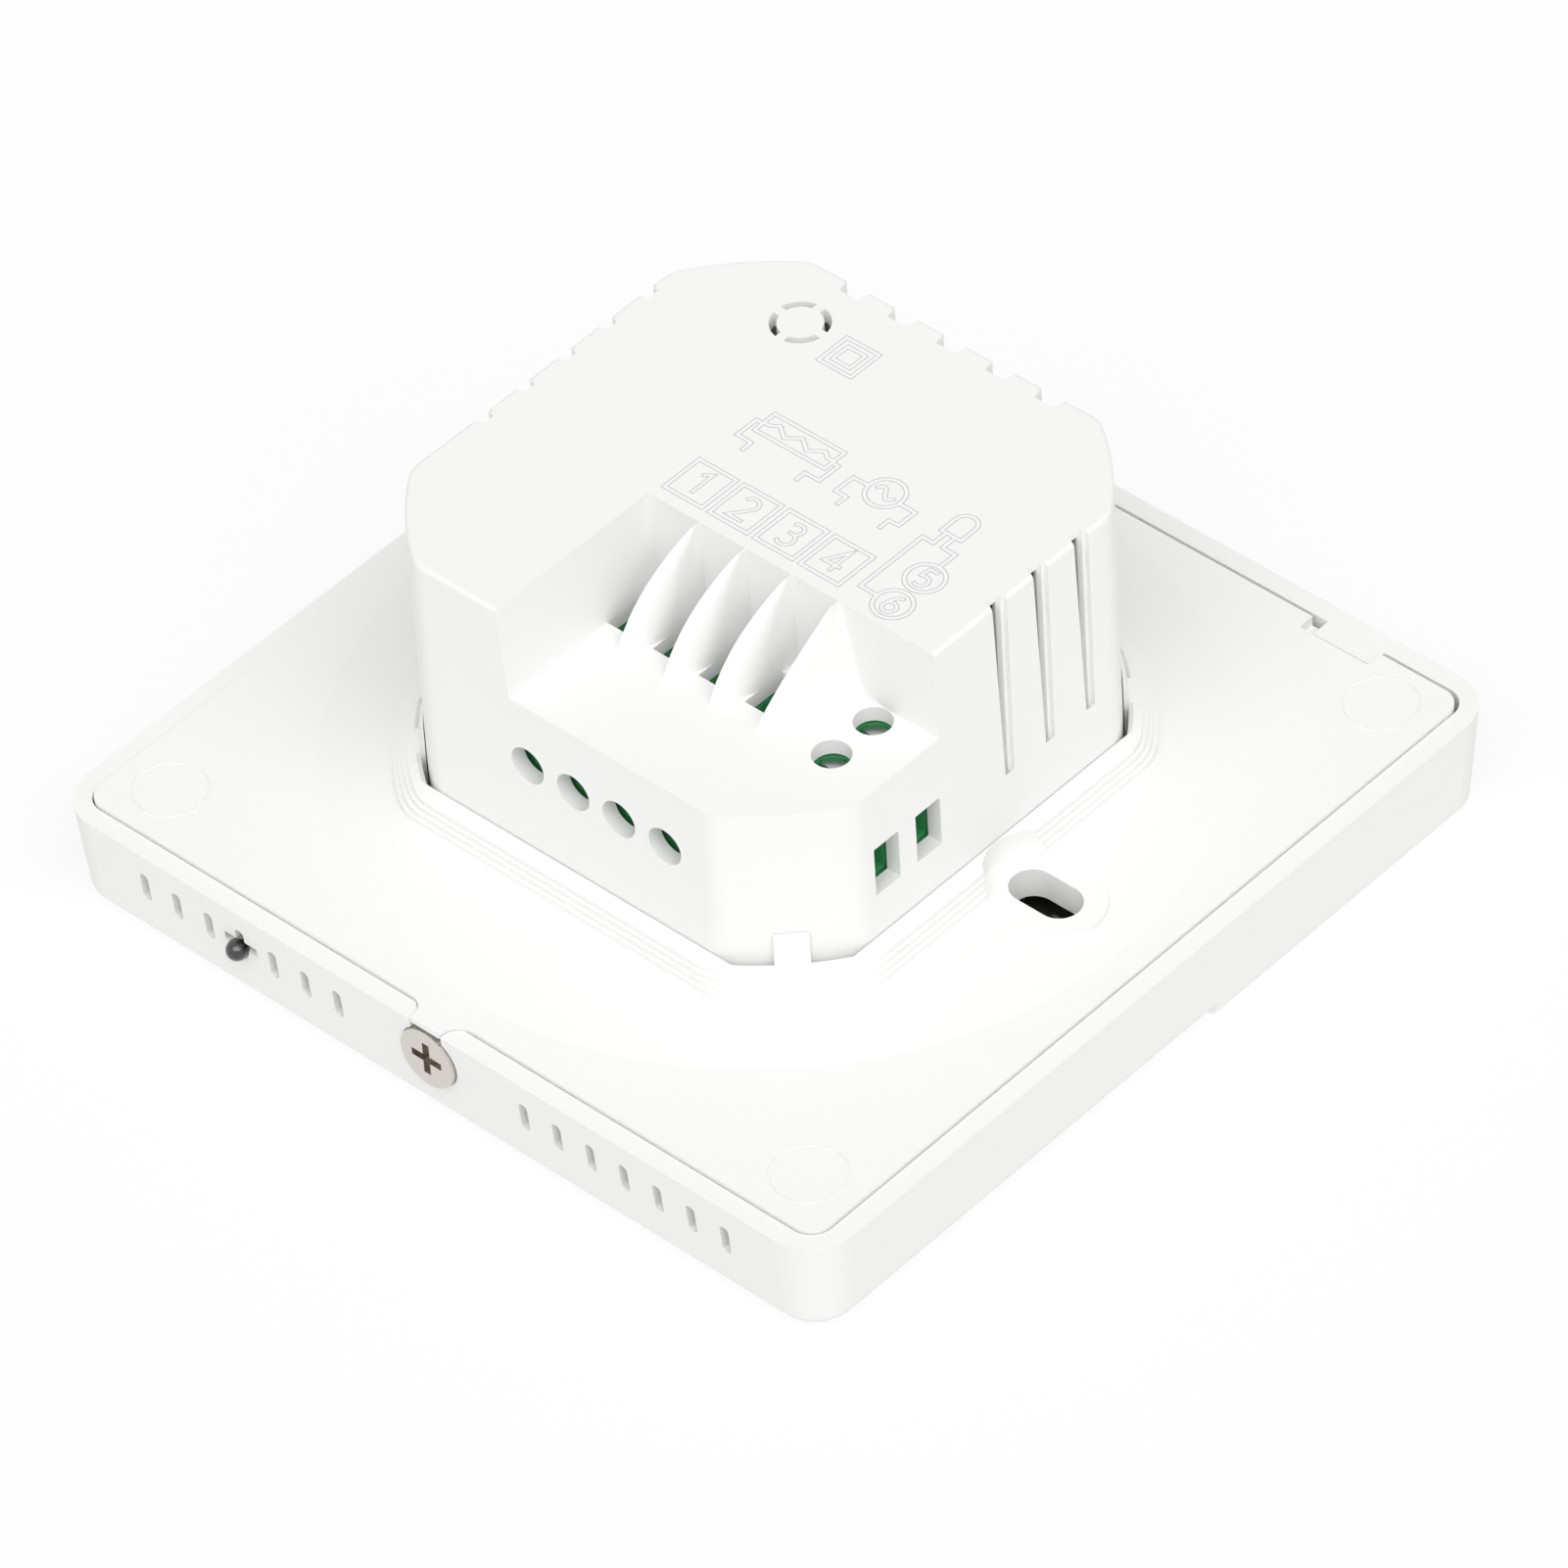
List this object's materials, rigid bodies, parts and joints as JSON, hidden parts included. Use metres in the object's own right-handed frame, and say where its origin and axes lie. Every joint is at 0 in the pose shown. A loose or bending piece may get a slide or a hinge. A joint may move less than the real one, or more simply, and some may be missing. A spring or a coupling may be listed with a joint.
{
  "type": "wifi thermostat",
  "caption": "Square wall thermostat lying on its glass front, with a vented white cover, a mounting plate and a deep rear casing with green wire terminals.",
  "frame": {"origin": "on the outer face of the front glass, on the axis of the rear casing and of the square cover", "axes": "+Z from the front glass towards the wall, +X along the edge that holds the cover screw, +Y from that edge towards the hooks"},
  "size_m": [0.086, 0.087, 0.0396],
  "materials": {
    "white_housing": "fine matt",
    "front_glass": "gloss",
    "display_glass": "gloss",
    "diffuser": "satin",
    "black_plastic": "satin",
    "lamp": "satin",
    "rubber_pad": "matt",
    "black_board": "satin",
    "green_board": "satin",
    "tin": "satin",
    "chip": "satin",
    "gold_pin": "polished",
    "bead": "gloss",
    "lead": "satin",
    "nickel": "plated",
    "relay_case": "satin",
    "ferrite": "matt",
    "winding_tape": "satin",
    "sleeve": "gloss",
    "varistor": "satin",
    "fuse_case": "satin",
    "film_case": "satin",
    "green_terminal": "satin",
    "bar_metal": "tinned",
    "terminal_metal": "zinc plated"
  },
  "bodies": {
    "front": {"front_cover": "white_housing", "touch_lens": "front_glass", "lcd_panel": "display_glass", "backlight_diffuser": "diffuser", "display_frame": "black_plastic", "backlight_lamps": "lamp", "touch_pads": "rubber_pad", "control_board": "black_board", "board_screws": "nickel", "radio_board": "black_board", "radio_shield": "tin", "microcontroller": "chip", "buzzer": "black_plastic", "header_strip": "black_plastic", "header_pins": "gold_pin", "thermistor_bead": "bead", "thermistor_leads": "lead"},
    "cover_screw": {"cover_screw": "nickel"},
    "base": {"mounting_plate": "white_housing", "rear_casing": "white_housing", "power_board": "green_board", "power_board_screws": "nickel", "header_socket": "black_plastic", "socket_contacts": "gold_pin", "relay": "relay_case", "transformer_bobbin": "black_plastic", "transformer_core": "ferrite", "transformer_winding": "winding_tape", "input_capacitor": "sleeve", "output_capacitors": "sleeve", "bridge_rectifier": "chip", "varistor": "varistor", "fuse": "fuse_case", "film_capacitor": "film_case", "choke": "ferrite", "supply_chip": "chip", "optocoupler": "chip", "power_terminal_block": "green_terminal", "sensor_terminal_block": "green_terminal", "terminal_bars": "bar_metal"},
    "power_screw_1": {"power_screw_1": "terminal_metal"},
    "power_clamp_1": {"power_clamp_1": "terminal_metal"},
    "power_screw_2": {"power_screw_2": "terminal_metal"},
    "power_clamp_2": {"power_clamp_2": "terminal_metal"},
    "power_screw_3": {"power_screw_3": "terminal_metal"},
    "power_clamp_3": {"power_clamp_3": "terminal_metal"},
    "power_screw_4": {"power_screw_4": "terminal_metal"},
    "power_clamp_4": {"power_clamp_4": "terminal_metal"},
    "sensor_screw_1": {"sensor_screw_1": "terminal_metal"},
    "sensor_clamp_1": {"sensor_clamp_1": "terminal_metal"},
    "sensor_screw_2": {"sensor_screw_2": "terminal_metal"},
    "sensor_clamp_2": {"sensor_clamp_2": "terminal_metal"}
  },
  "joints": [
    {"name": "base_swing", "type": "hinge", "parent": "front", "child": "base", "pos_m": [0, 0.0392, 0.0099], "axis": [-1, 0, 0], "range_deg": [0, 30]},
    {"name": "cover_screw_turn", "type": "hinge", "parent": "front", "child": "cover_screw", "pos_m": [0, -0.0431, 0.0072], "axis": [0, -1, 0], "continuous": true},
    {"name": "power_screw_1_turn", "type": "hinge", "parent": "base", "child": "power_screw_1", "pos_m": [-0.00466, -0.0192, 0.0237], "axis": [0, 1, 0], "range_deg": [0, 1296.1]},
    {"name": "power_clamp_1_rise", "type": "slide", "parent": "base", "child": "power_clamp_1", "axis": [0, -1, 0], "range_m": [0, 0.0018]},
    {"name": "power_screw_2_turn", "type": "hinge", "parent": "base", "child": "power_screw_2", "pos_m": [0.00042, -0.0192, 0.0237], "axis": [0, 1, 0], "range_deg": [0, 1296.1]},
    {"name": "power_clamp_2_rise", "type": "slide", "parent": "base", "child": "power_clamp_2", "axis": [0, -1, 0], "range_m": [0, 0.0018]},
    {"name": "power_screw_3_turn", "type": "hinge", "parent": "base", "child": "power_screw_3", "pos_m": [0.0055, -0.0192, 0.0237], "axis": [0, 1, 0], "range_deg": [0, 1296.1]},
    {"name": "power_clamp_3_rise", "type": "slide", "parent": "base", "child": "power_clamp_3", "axis": [0, -1, 0], "range_m": [0, 0.0018]},
    {"name": "power_screw_4_turn", "type": "hinge", "parent": "base", "child": "power_screw_4", "pos_m": [0.01058, -0.0192, 0.0237], "axis": [0, 1, 0], "range_deg": [0, 1296.1]},
    {"name": "power_clamp_4_rise", "type": "slide", "parent": "base", "child": "power_clamp_4", "axis": [0, -1, 0], "range_m": [0, 0.0018]},
    {"name": "sensor_screw_1_turn", "type": "hinge", "parent": "base", "child": "sensor_screw_1", "pos_m": [0.0188, -0.0127, 0.0268], "axis": [0, 0, -1], "range_deg": [0, 1296.1]},
    {"name": "sensor_clamp_1_rise", "type": "slide", "parent": "base", "child": "sensor_clamp_1", "axis": [0, 0, 1], "range_m": [0, 0.0018]},
    {"name": "sensor_screw_2_turn", "type": "hinge", "parent": "base", "child": "sensor_screw_2", "pos_m": [0.0188, -0.00762, 0.0268], "axis": [0, 0, -1], "range_deg": [0, 1296.1]},
    {"name": "sensor_clamp_2_rise", "type": "slide", "parent": "base", "child": "sensor_clamp_2", "axis": [0, 0, 1], "range_m": [0, 0.0018]}
  ],
  "couplings": [
    {"joint": "power_screw_1_turn", "follows": "power_clamp_1_rise", "rad_per_m": 12566},
    {"joint": "power_screw_2_turn", "follows": "power_clamp_2_rise", "rad_per_m": 12566},
    {"joint": "power_screw_3_turn", "follows": "power_clamp_3_rise", "rad_per_m": 12566},
    {"joint": "power_screw_4_turn", "follows": "power_clamp_4_rise", "rad_per_m": 12566},
    {"joint": "sensor_screw_1_turn", "follows": "sensor_clamp_1_rise", "rad_per_m": 12566},
    {"joint": "sensor_screw_2_turn", "follows": "sensor_clamp_2_rise", "rad_per_m": 12566}
  ]
}
